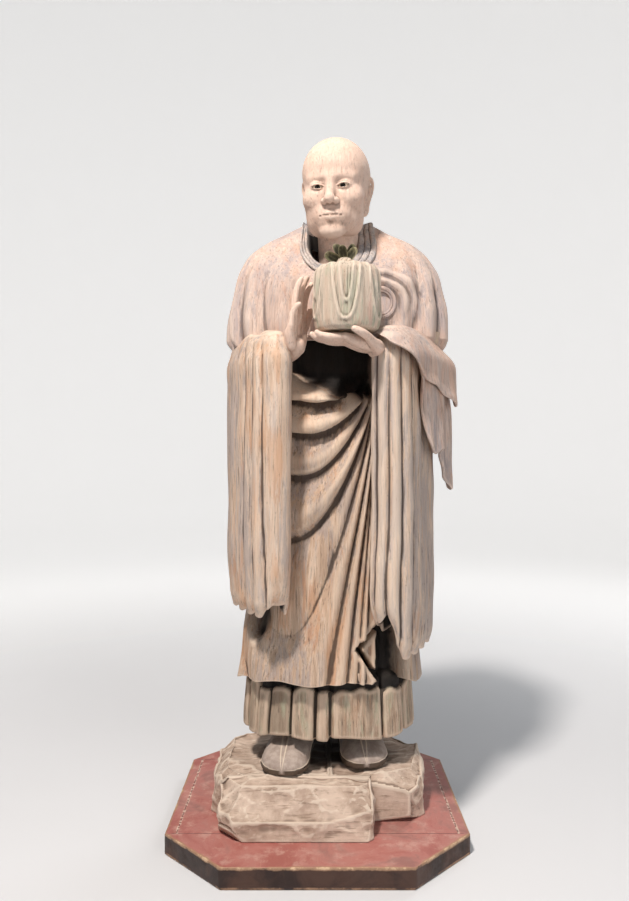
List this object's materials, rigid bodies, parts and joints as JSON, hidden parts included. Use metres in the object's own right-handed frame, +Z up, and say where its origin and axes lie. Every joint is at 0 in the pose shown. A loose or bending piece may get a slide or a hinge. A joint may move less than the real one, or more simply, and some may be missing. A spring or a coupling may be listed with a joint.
{
  "type": "standing monk statue",
  "caption": "Standing carved wooden monk in long robes and a mantle, holding a cloth-wrapped round casket, on a chiselled rock base and a lacquered plinth with cut corners.",
  "frame": {"origin": "middle of the plinth's underside", "axes": "+Z up, the statue faces -Y, +X is the viewer's right"},
  "size_m": [0.8376, 0.8456, 2.0314],
  "materials": {
    "robe_wood": "carved and painted, worn matt",
    "skin_wood": "carved and painted, smooth matt",
    "casket_paint": "carved as wrapping cloth, worn green and red paint",
    "shoe_lacquer": "carved and lacquered, worn",
    "rock_wood": "chiselled, bare and dusty",
    "plinth_lacquer": "worn red and brown lacquer",
    "eye_crystal": "polished inlay"
  },
  "bodies": {
    "root": {"trunk_front": "robe_wood", "trunk_back": "robe_wood", "right_sleeve": "robe_wood", "left_sleeve": "robe_wood", "mantle_flap": "robe_wood", "mantle_ring": "robe_wood", "head": "skin_wood", "right_hand": "skin_wood", "left_hand": "skin_wood", "casket": "casket_paint", "casket_knot": "casket_paint", "right_shoe": "shoe_lacquer", "left_shoe": "shoe_lacquer", "rock_right_block": "rock_wood", "rock_left_block": "rock_wood", "rock_front_block": "rock_wood", "right_foot_tenon": "rock_wood", "left_foot_tenon": "rock_wood", "plinth_front_board": "plinth_lacquer", "plinth_rear_board": "plinth_lacquer", "plinth_centre_panel": "plinth_lacquer", "plinth_right_strip": "plinth_lacquer", "plinth_left_strip": "plinth_lacquer", "right_eye": "eye_crystal", "left_eye": "eye_crystal"}
  },
  "joints": []
}
